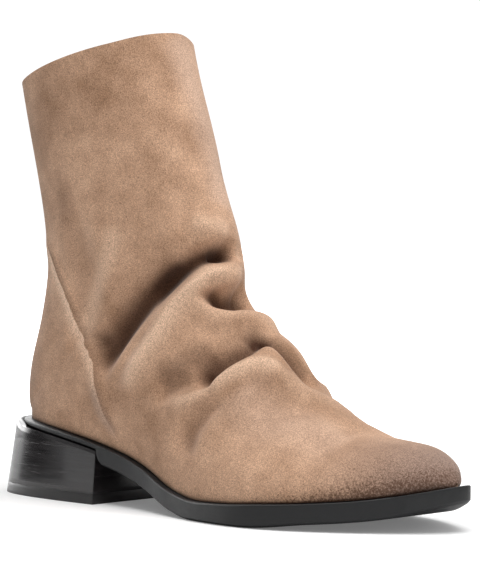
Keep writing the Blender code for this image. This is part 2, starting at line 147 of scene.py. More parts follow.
# Folds of the suede: depth in mm (a ridge is negative), width to the right and to the left of the line seen
# from outside, each at its start and its end, sharpness of its bottom (2 is round, 1 is keen), then its line
# over the skin as section number and share of the way round from the ridge (negative on the outer side).
FOLDS = (
    ("ankle_start", 2.2, (8, 8), (4, 4), 2.0,
     ((14.6, 0.14), (14.5, 0.08), (14.45, 0.0), (14.4, -0.08))),
    ("ankle_trough", 6.4, (9, 14), (5, 12), 1.8,
     ((14.5, 0.06), (14.45, 0.02), (14.4, -0.04), (14.4, -0.10), (14.35, -0.17), (14.3, -0.24),
      (14.25, -0.31), (14.1, -0.38), (13.9, -0.45), (13.65, -0.52), (13.35, -0.60), (13.05, -0.67))),
    ("ankle_core", 4.4, (8, 9), (4, 8), 1.9,
     ((14.5, 0.07), (14.45, 0.02), (14.4, -0.04), (14.4, -0.10), (14.35, -0.17), (14.3, -0.24),
      (14.25, -0.31), (14.1, -0.38))),
    ("ankle_hollow", 3.6, (22, 18), (7, 12), 2.2,
     ((14.8, -0.20), (14.6, -0.31), (14.3, -0.41), (13.9, -0.51), (13.3, -0.61), (12.7, -0.72))),
    ("ankle_ridge", -4.8, (7, 10), (13, 17), 2.0,
     ((13.4, 0.10), (13.45, 0.0), (13.55, -0.06), (13.85, -0.12), (13.95, -0.16), (13.7, -0.21),
      (13.3, -0.27), (12.9, -0.34), (12.4, -0.42), (12.05, -0.52), (11.8, -0.61), (11.4, -0.70))),
    ("pocket", 8.5, (5, 5), (10, 11), 2.1,
     ((13.1, -0.16), (12.75, -0.155), (12.4, -0.13), (12.2, -0.09), (12.15, -0.04), (12.15, 0.02),
      (12.2, 0.08), (12.3, 0.15))),
    ("pocket_lip", -3.0, (4, 5), (10, 10), 1.8,
     ((11.3, 0.28), (11.25, 0.16), (11.3, 0.05), (11.4, -0.05), (11.5, -0.12), (11.95, -0.18),
      (12.75, -0.215))),
    ("under_lip", 2.0, (6, 8), (6, 8), 2.0,
     ((10.9, -0.02), (10.9, -0.10), (11.0, -0.20), (11.2, -0.32))),
    ("vamp_trough", 8.0, (11, 17), (7, 6), 1.9,
     ((10.15, -0.01), (10.35, -0.05), (10.35, -0.11), (10.25, -0.18), (10.2, -0.26), (10.2, -0.34),
      (10.15, -0.42), (10.2, -0.50))),
    ("vamp_arm", 4.8, (5, 5), (8, 8), 2.0,
     ((10.3, -0.08), (10.05, -0.03), (9.7, 0.0), (9.3, 0.02), (8.9, 0.04), (8.5, 0.06))),
    ("vamp_end", 3.4, (9, 10), (8, 10), 2.0,
     ((10.0, -0.42), (10.2, -0.50), (10.6, -0.56), (11.0, -0.60))),
    ("vamp_ridge", -3.2, (11, 14), (6, 7), 2.0,
     ((10.7, -0.62), (10.3, -0.56), (10.05, -0.50), (9.9, -0.42), (9.8, -0.34), (9.7, -0.26), (9.55, -0.20),
      (9.35, -0.16), (9.05, -0.14), (8.75, -0.11), (8.45, -0.06), (8.2, 0.02), (8.05, 0.12), (7.9, 0.23),
      (7.8, 0.34))),
    ("vamp_dip", 2.6, (7, 8), (7, 8), 2.0,
     ((8.75, -0.15), (8.75, -0.22), (8.6, -0.30), (8.45, -0.38))),
    ("side_dip", 3.4, (8, 11), (8, 11), 2.0,
     ((9.5, -0.46), (9.5, -0.53), (9.5, -0.60), (9.45, -0.68), (9.2, -0.80))),
    ("toe_dip", 1.2, (9, 9), (9, 9), 2.0,
     ((6.0, -0.09), (6.6, -0.10), (7.3, -0.11))),
    ("knuckle_dip", 2.0, (8, 8), (7, 7), 2.0,
     ((17.4, -0.08), (16.6, -0.14), (16.0, -0.125), (15.5, -0.13), (15.2, -0.20), (15.0, -0.28))),
    ("knuckle", -1.8, (7, 7), (8, 8), 1.8,
     ((16.1, -0.14), (15.95, -0.09), (15.75, -0.04), (15.4, 0.01))),
    ("shaft_dent", 1.4, (10, 10), (8, 8), 2.0,
     ((19.6, 0.02), (18.8, -0.04), (18.0, -0.06))),
    ("side_hollow", 3.0, (12, 13), (12, 10), 2.0,
     ((18.6, -0.56), (17.6, -0.53), (16.6, -0.49), (15.6, -0.48), (14.6, -0.55), (13.8, -0.60))),
    ("inner_trough", 5.0, (12, 12), (10, 10), 1.8,
     ((14.6, 0.26), (14.4, 0.34), (14.0, 0.42), (13.5, 0.50), (12.8, 0.62))),
    ("inner_ridge", -3.2, (13, 13), (8, 8), 1.6,
     ((13.5, 0.28), (13.3, 0.36), (12.8, 0.46), (12.0, 0.58), (11.2, 0.68))),
    ("inner_vamp_trough", 3.0, (8, 8), (10, 10), 1.8,
     ((9.3, 0.18), (9.4, 0.27), (9.8, 0.38), (10.3, 0.50))),
    ("inner_vamp_ridge", -1.8, (12, 12), (6, 6), 1.7,
     ((8.9, 0.30), (9.1, 0.40), (9.4, 0.50), (9.8, 0.60))),
    ("inner_ball_dip", 1.6, (9, 9), (9, 9), 2.0,
     ((7.2, 0.18), (6.9, 0.27), (6.6, 0.36))),
    ("counter_edge", -1.8, (10, 12), (3.4, 4.0), 1.5,
     ((18.7, -0.80), (18.4, -0.757), (17.9, -0.70), (17.4, -0.65), (16.7, -0.585), (16.1, -0.548),
      (15.4, -0.535), (14.9, -0.56), (13.9, -0.63), (13.3, -0.67), (12.8, -0.70), (12.4, -0.74),
      (12.0, -0.79), (11.7, -0.835), (11.3, -0.89))),
    ("counter_line", 1.3, (2.6, 3.0), (6.0, 7.0), 1.8,
     ((18.2, -0.70), (17.4, -0.62), (16.7, -0.555), (16.0, -0.515), (15.2, -0.51), (14.5, -0.55),
      (13.5, -0.62), (12.8, -0.67))),
    ("inner_counter_edge", -1.1, (2.2, 2.6), (9, 11), 1.3,
     ((18.7, 0.84), (18.2, 0.75), (17.4, 0.67), (16.6, 0.60), (15.6, 0.55), (14.4, 0.61), (13.4, 0.67),
      (12.6, 0.73), (12.0, 0.81), (11.5, 0.88), (11.1, 0.95))),
)


# The counter's front edge from the sole up: height over the floor and distance behind the frame's origin,
# both as shares of a span in metres.
COUNTER_SPAN = 0.13
COUNTER = (
    (0.20, 0.27), (0.27, 0.312), (0.32, 0.338), (0.37, 0.358), (0.42, 0.378), (0.46, 0.397), (0.50, 0.42),
    (0.54, 0.45), (0.58, 0.482), (0.62, 0.505), (0.69, 0.535), (0.75, 0.577), (0.82, 0.640), (0.87, 0.687),
    (0.92, 0.738), (0.99, 0.81),
)

# Painted highlights, painted shade and painted light laid out like the folds, and burnished wear: strength
# first, then widths and line.
STROKES = {
    # Painted highlights along the lit sides of the ridges and soft folds.
    "painted_highlight": (
        ("soft_fold", 0.42, (9, 8), (9, 8), 2.0,
         ((17.4, -0.38), (16.8, -0.415), (16.3, -0.44), (15.7, -0.48), (15.1, -0.53))),
        ("knuckle", 0.30, (7, 7), (7, 7), 2.0,
         ((16.1, -0.12), (15.9, -0.07), (15.7, -0.02), (15.4, 0.02))),
        ("ankle_ridge", 0.45, (3, 4), (8, 9), 1.8,
         ((13.6, -0.03), (13.9, -0.11), (14.0, -0.15), (13.8, -0.20), (13.4, -0.26), (13.0, -0.33),
          (12.5, -0.41), (12.15, -0.51), (11.9, -0.60), (11.6, -0.68))),
        ("vamp_ridge", 0.40, (8, 9), (3, 4), 1.8,
         ((10.6, -0.62), (10.2, -0.57), (10.0, -0.52), (9.9, -0.44), (9.8, -0.36), (9.7, -0.28), (9.6, -0.21),
          (9.4, -0.16), (9.1, -0.14))),
    ),
    # Painted shade in the hollows beside the counter, the folds and the side of the vamp.
    "trough": (
        ("heel_side", 0.24, (12, 6), (12, 7), 2.0,
         ((19.8, -0.58), (18.6, -0.587), (18.0, -0.58), (17.4, -0.555), (16.8, -0.53), (16.2, -0.51),
          (15.6, -0.51))),
        ("toe_side", 0.40, (12, 14), (8, 10), 2.0,
         ((11.3, -0.56), (11.1, -0.51), (10.95, -0.45), (10.85, -0.38), (10.8, -0.30))),
        ("vamp_arm", 0.45, (4, 4), (9, 9), 1.8,
         ((10.4, -0.14), (10.4, -0.06), (10.0, -0.01), (9.6, 0.02), (9.2, 0.04), (8.8, 0.06))),
        ("low_dip", 0.18, (7, 9), (7, 9), 2.0,
         ((9.75, -0.50), (9.6, -0.57), (9.5, -0.63), (9.4, -0.70), (9.2, -0.78))),
    ),
    # Painted light: a pale sheen down the front of the shaft and the lit top of the vamp.
    "painted_light": (
        ("front_of_shaft", 0.36, (14, 12), (14, 12), 2.0,
         ((22.0, 0.0), (21.5, 0.02), (20.0, 0.05), (18.5, 0.06), (17.2, 0.04), (16.5, 0.02))),
        ("vamp", 0.26, (22, 26), (18, 22), 2.0,
         ((9.4, -0.36), (8.6, -0.34), (7.6, -0.30), (6.6, -0.26), (5.6, -0.24))),
    ),
    "burnish": (
        ("scuff", 0.45, (5, 6), (5, 6), 1.6,
         ((12.5, -0.74), (12.1, -0.79), (11.7, -0.84), (11.2, -0.90))),
    ),
}


def through(xs, ys, where):
    """A smooth curve through the points of a table."""
    where = np.clip(np.asarray(where, float), xs[0], xs[-1])
    step = np.diff(xs)
    slope = np.diff(ys) / step
    rate = np.empty(len(xs))
    rate[1:-1] = (slope[:-1] * step[1:] + slope[1:] * step[:-1]) / (step[:-1] + step[1:])
    rate[0], rate[-1] = 2 * slope[0] - rate[1], 2 * slope[-1] - rate[-2]
    at = np.clip(np.searchsorted(xs, where, "right") - 1, 0, len(step) - 1)
    t = (where - xs[at]) / step[at]
    t2, t3 = t * t, t * t * t
    return ((2 * t3 - 3 * t2 + 1) * ys[at] + (t3 - 2 * t2 + t) * step[at] * rate[at]
            + (3 * t2 - 2 * t3) * ys[at + 1] + (t3 - t2) * step[at] * rate[at + 1])


def smooth(table, column, where):
    return through(np.array([row[0] for row in table], float),
                   np.array([row[column] for row in table], float), where)


def ease(value, low, high):
    t = np.clip((np.asarray(value, float) - low) / (high - low), 0, 1)
    return t * t * (3 - 2 * t)


def tread_height(x):
    return smooth(TREAD, 1, np.asarray(x, float) / SOLE_LENGTH)


def ordered(px, py):
    keep = np.maximum.accumulate(px) <= px
    return px[keep], py[keep]


def outline(inset, toe=0.0, count=800):
    """The sole's outline moved in, and by toe more at its tip: x, and y of the outer and the inner side."""
    turn = np.linspace(0, 1, count)
    table = [(np.arccos(1 - 2 * row[0]) / np.pi, row[1], row[2]) for row in OUTLINE]
    share = (1 - np.cos(np.pi * turn)) / 2
    middle = TOE_SWING * np.clip((share - SWING_FROM) / (1 - SWING_FROM), 0, 1) ** 1.7
    x = share * SOLE_LENGTH
    inset = inset + toe * np.clip((share - TIP_FROM) / (1 - TIP_FROM), 0, 1) ** 2
    sides = []
    for column, sign in ((1, -1), (2, 1)):
        y = middle + sign * smooth(table, column, turn) * BALL_WIDTH
        dx, dy = np.gradient(x), np.gradient(y)
        size = np.hypot(dx, dy)
        sides.append((x + sign * dy / size * inset, y - sign * dx / size * inset))
    back = max(sides[0][0][0], sides[1][0][0])
    front = min(sides[0][0][-1], sides[1][0][-1])
    along = back + (front - back) * share
    found = [np.interp(along, *ordered(px, py)) for px, py in sides]
    centre = (found[0] + found[1]) / 2
    found[0][[0, -1]] = found[1][[0, -1]] = centre[[0, -1]]
    return along, found[0], found[1]


FEATHER = outline(WELT, TOE_WELT)
CLOSED_FROM = max(i for i, row in enumerate(SECTIONS) if row[4] is None)


def section(number):
    """The values of the section at a number, which may lie between two rows."""
    number = np.asarray(number, float)
    rows = np.arange(len(SECTIONS), dtype=float)
    back_z = [row[4] if row[4] is not None else tread_height(row[3]) + GAP for row in SECTIONS]
    columns = [[row[i] for row in SECTIONS] for i in (1, 2, 3)] + [back_z]
    columns += [[row[i] for row in SECTIONS] for i in (5, 6, 7)]
    front_x, front_z, x, z, ridge, half, full = (
        through(rows, np.array(column, float), number) for column in columns)
    open_row = number < CLOSED_FROM
    x = np.where(number <= CLOSED_FROM, np.clip(x, FEATHER[0][0], FEATHER[0][-1]), x)
    lateral = np.interp(x, FEATHER[0], FEATHER[1])
    medial = np.interp(x, FEATHER[0], FEATHER[2])
    z = np.where(open_row, tread_height(x) + GAP, z)
    foot = np.where(open_row, (medial - lateral) / 2, 0.0)
    middle = np.where(open_row, (medial + lateral) / 2, 0.0)
    half = np.maximum(half, foot * 1.02)
    reach = np.where(open_row, np.pi - np.arcsin(np.clip(foot / half, 0, 1) ** (1 / full)), np.pi)
    return front_x, front_z, x, z, ridge, half, full, middle, reach


def skin(number, share):
    """Points of the upper before its folds: section number, and share of the way round (-1 to 1)."""
    front_x, front_z, x, z, ridge, half, full, middle, reach = section(number)
    angle = np.abs(share) * reach
    down = (1 - np.cos(angle)) / (1 - np.cos(reach))
    side = np.sign(share) * half * np.clip(np.sin(angle), 0, 1) ** full
    sag = COLLAR_SAG * ease(down, 0.01, 0.18) * ease(down, 1.0, 0.7)
    sag = ease(number, 20.5, 22) * (sag + COLLAR_TILT * ease(share, 0.0, 0.16) * ease(share, 1.0, 0.75))
    return np.stack([front_x + (x - front_x) * down,
                     ridge + (middle - ridge) * down + side,
                     front_z + (z - front_z) * down - sag], -1)


def skin_normal(number, share):
    ahead = skin(number + 0.01, share) - skin(number - 0.01, share)
    across = skin(number, np.clip(share + 0.004, -1, 1)) - skin(number, np.clip(share - 0.004, -1, 1))
    normal = np.cross(across, ahead)
    return normal / np.maximum(np.linalg.norm(normal, axis=-1, keepdims=True), 1e-9)


def line_weight(flat, normal, rights, lefts, keen, path):
    """How strongly each point of the skin lies in the reach of a line over it, 0 to 1."""
    stops = np.array(path, float)
    knots = np.arange(len(stops), dtype=float)
    along = np.linspace(0, len(stops) - 1, 6 * len(stops))
    line = skin(through(knots, stops[:, 0], along), through(knots, stops[:, 1], along))
    reach = max(rights + lefts)
    inside = ((flat > line.min(0) - reach) & (flat < line.max(0) + reach)).all(-1)
    spot, out = flat[inside], normal[inside]
    near = np.full(len(spot), 1e9)
    side, place = np.zeros(len(spot)), np.zeros(len(spot))
    for i in range(len(line) - 1):
        run = line[i + 1] - line[i]
        t = np.clip(((spot - line[i]) @ run) / (run @ run), 0, 1)
        off = spot - line[i] - t[:, None] * run
        gap = np.linalg.norm(off, axis=-1)
        closer = gap < near
        near = np.where(closer, gap, near)
        turn = (np.cross(run, off) * out).sum(-1) / np.linalg.norm(run)
        side = np.where(closer, turn, side)
        place = np.where(closer, (i + t) / (len(line) - 1), place)
    # The widths of the two sides pass into each other within 0.8 mm of the line.
    rightward = 0.5 - 0.5 * np.clip(side / 0.8, -1, 1)
    right = rights[0] + (rights[1] - rights[0]) * place
    left = lefts[0] + (lefts[1] - lefts[0]) * place
    width = left + (right - left) * rightward
    press = np.clip(1 - (near / width) ** keen, 0, 1) ** 2
    ends = np.clip(place / END_FADE, 0, 1) * np.clip((1 - place) / END_FADE, 0, 1)
    weight = np.zeros(flat.shape[:-1])
    weight[inside] = press * ends * (2 - ends)
    return weight


def fold_depth(flat, normal):
    """How far the folds press each point of the skin in."""
    return sum(depth * line_weight(flat, normal, *rest) for _, depth, *rest in FOLDS)


def softened(grid, rounds):
    """The grid with each point drawn toward its four neighbours, its borders kept."""
    for _ in range(rounds):
        mean = (grid[:-2, 1:-1] + grid[2:, 1:-1] + grid[1:-1, :-2] + grid[1:-1, 2:]) / 4
        grid = grid.copy()
        grid[1:-1, 1:-1] = grid[1:-1, 1:-1] * 0.5 + mean * 0.5
    return grid


def new_piece(name, points, faces, materials):
    mesh = bpy.data.meshes.new(name)
    placed = (np.asarray(points, float).reshape(-1, 3) - FLOOR_POINT) * MM
    mesh.from_pydata(placed.tolist(), [], faces)
    for each in materials:
        mesh.materials.append(each)
    made = bpy.data.objects.new(name, mesh)
    bpy.context.scene.collection.objects.link(made)
    return made


def tidy_mesh(piece):
    """Merges double points and turns the faces out."""
    work = bmesh.new()
    work.from_mesh(piece.data)
    bmesh.ops.remove_doubles(work, verts=work.verts, dist=MERGE)
    bmesh.ops.dissolve_degenerate(work, edges=work.edges, dist=0.000001)
    bmesh.ops.recalc_face_normals(work, faces=work.faces)
    work.to_mesh(piece.data)
    work.free()


def settled(piece, angle):
    """The piece with its modifiers applied, shaded smooth but for edges keener than the angle."""
    graph = bpy.context.evaluated_depsgraph_get()
    graph.update()
    mesh = bpy.data.meshes.new_from_object(piece.evaluated_get(graph), preserve_all_data_layers=True,
                                           depsgraph=graph)
    piece.modifiers.clear()
    piece.data = mesh
    mesh.name = piece.name
    mesh.shade_smooth()
    mesh.set_sharp_from_angle(angle=angle)


def grid_faces(rows, columns, closed_row):
    """Faces of a grid whose last column is its first one from the closed row on."""
    faces = []
    for i in range(rows - 1):
        for j in range(columns - 1):
            corners = [(i, j), (i, j + 1), (i + 1, j + 1), (i + 1, j)]
            faces.append(tuple(
                a * columns + (0 if b == columns - 1 and a >= closed_row else b) for a, b in corners))
    return faces


# Materials


def add(tree, kind, inputs=None, **settings):
    """A node with its settings, and with its inputs linked or set."""
    made = tree.nodes.new(kind)
    for key, value in settings.items():
        setattr(made, key, value)
    for key, value in (inputs or {}).items():
        if isinstance(value, bpy.types.NodeSocket):
            tree.links.new(value, made.inputs[key])
        else:
            made.inputs[key].default_value = value
    return made


def maths(tree, operation, a, b=0.0, clamp=False):
    made = add(tree, "ShaderNodeMath", {0: a, 1: b}, operation=operation, use_clamp=clamp)
    return made.outputs[0]


def times(tree, a, b):
    return maths(tree, "MULTIPLY", a, b)


def plus(tree, a, b):
    return maths(tree, "ADD", a, b)


def feed(tree, shader, name, value):
    tree.links.new(value, shader.inputs[name])


def noise(tree, where, scale, detail=2.0, roughness=0.5):
    return add(tree, "ShaderNodeTexNoise",
               {"Vector": where, "Scale": scale, "Detail": detail, "Roughness": roughness}).outputs["Fac"]


def remap(tree, value, low, high, to_low=0.0, to_high=1.0):
    return add(tree, "ShaderNodeMapRange",
               {0: value, 1: low, 2: high, 3: to_low, 4: to_high}).outputs[0]


def mixed(tree, factor, a, b, mode="MIX"):
    return add(tree, "ShaderNodeMix", {0: factor, 6: a, 7: b}, data_type="RGBA", blend_type=mode).outputs[2]


def stretched(tree, where, scale):
    return add(tree, "ShaderNodeMapping", {"Vector": where, "Scale": scale}).outputs[0]


def attribute(tree, name):
    return add(tree, "ShaderNodeAttribute", attribute_name=name).outputs["Fac"]


def srgb(red, green, blue):
    def linear(value):
        value /= 255
        return value / 12.92 if value <= 0.04045 else ((value + 0.055) / 1.055) ** 2.4
    return (linear(red), linear(green), linear(blue), 1.0)


def new_group(name, inputs, outputs):
    tree = bpy.data.node_groups.new(name, "ShaderNodeTree")
    for label, kind, value in inputs:
        socket = tree.interface.new_socket(label, in_out="INPUT", socket_type=kind)
        if value is not None:
            socket.default_value = value
    for label in outputs:
        tree.interface.new_socket(label, in_out="OUTPUT", socket_type="NodeSocketFloat")
    return tree, tree.nodes.new("NodeGroupInput").outputs, tree.nodes.new("NodeGroupOutput").inputs


def nap_group():
    """Fibres of a brushed leather: cloudy brushing, grain that the eye sees, and height."""
    tree, given, out = new_group(
        "brushed_nap",
        (("Where", "NodeSocketVector", None), ("Cloud Size", "NodeSocketFloat", 0.03),
         ("Grain Size", "NodeSocketFloat", 0.0007)),
        ("Cloud", "Grain", "Height"))
    cloud_scale = maths(tree, "DIVIDE", 1.0, given["Cloud Size"])
    grain_scale = maths(tree, "DIVIDE", 1.0, given["Grain Size"])
    large = noise(tree, given["Where"], cloud_scale, 3.0, 0.55)
    small = noise(tree, given["Where"], times(tree, cloud_scale, 3.3), 3.0, 0.6)
    cloud = plus(tree, times(tree, large, 0.65), times(tree, small, 0.35))
    coarse = noise(tree, given["Where"], grain_scale, 2.0, 0.65)
    fine = noise(tree, given["Where"], times(tree, grain_scale, 2.7), 1.0, 0.6)
    grain = plus(tree, times(tree, coarse, 0.6), times(tree, fine, 0.4))
    tree.links.new(remap(tree, cloud, 0.34, 0.66), out["Cloud"])
    tree.links.new(remap(tree, grain, 0.32, 0.68), out["Grain"])
    tree.links.new(plus(tree, grain, times(tree, small, 0.4)), out["Height"])
    return tree


def rub_group():
    """Fine uneven marks of handling and brushing on rubber or polish."""
    tree, given, out = new_group(
        "rubbed_marks",
        (("Where", "NodeSocketVector", None), ("Mark Size", "NodeSocketFloat", 0.004)),
        ("Marks", "Height"))
    scale = maths(tree, "DIVIDE", 1.0, given["Mark Size"])
    broad = noise(tree, given["Where"], scale, 4.0, 0.6)
    fine = noise(tree, given["Where"], times(tree, scale, 9.0), 2.0, 0.6)
    marks = plus(tree, times(tree, broad, 0.6), times(tree, fine, 0.4))
    tree.links.new(remap(tree, marks, 0.33, 0.67), out["Marks"])
    tree.links.new(fine, out["Height"])
    return tree


NAP, RUB = nap_group(), rub_group()


def new_material(name):
    made = bpy.data.materials.new(name)
    made.use_nodes = True
    tree = made.node_tree
    where = add(tree, "ShaderNodeTexCoord").outputs["Object"]
    return made, tree, tree.nodes["Principled BSDF"], where


def use_group(tree, group, inputs):
    return add(tree, "ShaderNodeGroup", inputs, node_tree=group).outputs


def bumped(tree, shader, height, strength, distance):
    bump = add(tree, "ShaderNodeBump", {"Height": height, "Strength": strength, "Distance": distance})
    feed(tree, shader, "Normal", bump.outputs[0])


def suede_material():
    made, tree, shader, where = new_material("tan_suede")
    nap = use_group(tree, NAP, {"Where": where, "Cloud Size": 0.040, "Grain Size": 0.00055})
    cloth = mixed(tree, nap["Cloud"], srgb(152, 117, 91), srgb(202, 164, 136))
    # Painted shade in the hollows of the folds, over some darker nap there.
    cloth = mixed(tree, attribute(tree, "trough"), cloth, srgb(68, 41, 26))
    # Painted highlight on the ridges.
    cloth = mixed(tree, attribute(tree, "painted_highlight"), cloth, srgb(226, 192, 165))
    painted_counter_highlight, edge = counter_line(tree, where)
    # Painted highlight behind the counter's front edge, then a thin painted shadow before it.
    cloth = mixed(tree, painted_counter_highlight, cloth, srgb(228, 198, 174))
    cloth = mixed(tree, edge, cloth, srgb(96, 68, 50))
    # Painted sheen and light on the front of the shaft and on the vamp.
    cloth = mixed(tree, attribute(tree, "painted_light"), cloth, srgb(216, 187, 168))
    cloth = mixed(tree, attribute(tree, "burnish"), cloth, srgb(138, 116, 105))
    grain = remap(tree, nap["Grain"], 0.0, 1.0, 0.42, 1.56)
    cloth = mixed(tree, 1.0, cloth, grain, "MULTIPLY")
    speck = noise(tree, where, 1100.0, 2.0, 0.7)
    reach = times(tree, attribute(tree, "scorch"), 0.30)
    level = maths(tree, "SUBTRACT", plus(tree, speck, reach), 0.66)
    speck = maths(tree, "MULTIPLY", level, 5.0, clamp=True)
    cloth = mixed(tree, times(tree, speck, 0.8), cloth, srgb(88, 62, 48))
    # Darker foot of the suede along the sole: a dark edge line, partly painted shade of the crease there.
    cloth = mixed(tree, attribute(tree, "sole_line_and_shade"), cloth, srgb(58, 36, 26))
    feed(tree, shader, "Base Color", cloth)
    shader.inputs["Roughness"].default_value = 0.92
    shader.inputs["Specular IOR Level"].default_value = 0.18
    shader.inputs["Sheen Weight"].default_value = 0.22
    shader.inputs["Sheen Roughness"].default_value = 0.45
    shader.inputs["Sheen Tint"].default_value = (1.0, 0.88, 0.80, 1.0)
    bumped(tree, shader, nap["Height"], 0.45, 0.0006)
    return made


def counter_line(tree, where):
    """The counter's front edge under the suede: a painted highlight strip behind it and a thin painted shadow
    before it.

    Distances here are in metres, since they go by the piece's own place.
    """
    axes = add(tree, "ShaderNodeSeparateXYZ", {0: where}).outputs
    curve = add(tree, "ShaderNodeFloatCurve", {"Value": times(tree, axes[2], 1 / COUNTER_SPAN)})
    points = curve.mapping.curves[0].points
    points[0].location, points[1].location = COUNTER[0], COUNTER[-1]
    for place in COUNTER[1:-1]:
        points.new(*place)
    curve.mapping.update()
    ahead = plus(tree, axes[0], times(tree, curve.outputs[0], COUNTER_SPAN))
    waver = noise(tree, where, 260.0, 2.0)
    ahead = plus(tree, ahead, remap(tree, waver, 0.3, 0.7, -0.0003, 0.0003))
    behind_it = times(tree, remap(tree, ahead, -0.0085, -0.0004), remap(tree, ahead, 0.0005, -0.0002))
    before_it = times(tree, remap(tree, ahead, -0.0001, 0.0005), remap(tree, ahead, 0.0045, 0.0004))
    top = remap(tree, axes[2], 0.124, 0.114)
    low = remap(tree, axes[2], 0.030, 0.040)
    fading = times(tree, times(tree, top, low), remap(tree, axes[2], 0.045, 0.105, 0.40, 0.85))
    painted_counter_highlight = times(tree, maths(tree, "POWER", behind_it, 1.6), fading)
    return painted_counter_highlight, times(tree, times(tree, before_it, fading), 0.8)


def cut_edge_material():
    made, tree, shader, where = new_material("cut_suede_edge")
    nap = use_group(tree, NAP, {"Where": where, "Cloud Size": 0.012, "Grain Size": 0.0005})
    feed(tree, shader, "Base Color", mixed(tree, nap["Grain"], srgb(150, 116, 92), srgb(205, 172, 146)))
    shader.inputs["Roughness"].default_value = 0.95
    bumped(tree, shader, nap["Height"], 0.5, 0.0004)
    return made


def lining_material():
    made, tree, shader, where = new_material("lining_leather")
    nap = use_group(tree, NAP, {"Where": where, "Cloud Size": 0.025, "Grain Size": 0.0009})
    feed(tree, shader, "Base Color", mixed(tree, nap["Cloud"], srgb(182, 150, 120), srgb(206, 176, 146)))
    feed(tree, shader, "Roughness", remap(tree, nap["Grain"], 0, 1, 0.5, 0.7))
    bumped(tree, shader, nap["Grain"], 0.15, 0.0002)
    return made


def sock_material():
    made, tree, shader, where = new_material("sock_leather")
    nap = use_group(tree, NAP, {"Where": where, "Cloud Size": 0.04, "Grain Size": 0.0008})
    feed(tree, shader, "Base Color", mixed(tree, nap["Cloud"], srgb(170, 138, 108), srgb(192, 160, 130)))
    feed(tree, shader, "Roughness", remap(tree, nap["Cloud"], 0, 1, 0.45, 0.65))
    bumped(tree, shader, nap["Grain"], 0.12, 0.0002)
    return made


def rubber_material(name, dark, light, low, high, mark_size=0.006):
    made, tree, shader, where = new_material(name)
    rub = use_group(tree, RUB, {"Where": where, "Mark Size": mark_size})
    feed(tree, shader, "Base Color", mixed(tree, rub["Marks"], dark, light))
    feed(tree, shader, "Roughness", remap(tree, rub["Marks"], 0, 1, low, high))
    bumped(tree, shader, rub["Height"], 0.08, 0.0002)
    return made


def polish_material():
    """Polished heel: long faint brushing lines run round it."""
    made, tree, shader, where = new_material("polished_heel")
    level = stretched(tree, where, (0.04, 0.04, 1.0))
    rub = use_group(tree, RUB, {"Where": level, "Mark Size": 0.0022})
    feed(tree, shader, "Base Color", mixed(tree, rub["Marks"], srgb(9, 8, 10), srgb(38, 34, 35)))
    feed(tree, shader, "Roughness", remap(tree, rub["Marks"], 0, 1, 0.08, 0.30))
    shader.inputs["Coat Weight"].default_value = 0.35
    shader.inputs["Coat Roughness"].default_value = 0.12
    return made


SUEDE_LOOK = suede_material()
EDGE_LOOK = cut_edge_material()
LINING_LOOK = lining_material()
SOCK_LOOK = sock_material()
SOLE_LOOK = rubber_material("matt_rubber", srgb(6, 7, 9), srgb(15, 16, 18), 0.46, 0.64)
LIFT_LOOK = rubber_material("lift_rubber", srgb(26, 24, 25), srgb(40, 38, 38), 0.34, 0.5, 0.004)
HEEL_LOOK = polish_material()


# Upper


def upper_grid(numbers, columns, inset=0.0):
    """The folded skin moved in by a distance, the skin before folding, its normals, and the depth of folds."""
    share = np.linspace(-1, 1, columns)
    number, share = np.meshgrid(numbers, share, indexing="ij")
    flat = skin(number, share)
    normal = skin_normal(number, share)
    depth = fold_depth(flat, normal)
    return flat - normal * (depth + inset)[..., None], flat, normal, depth


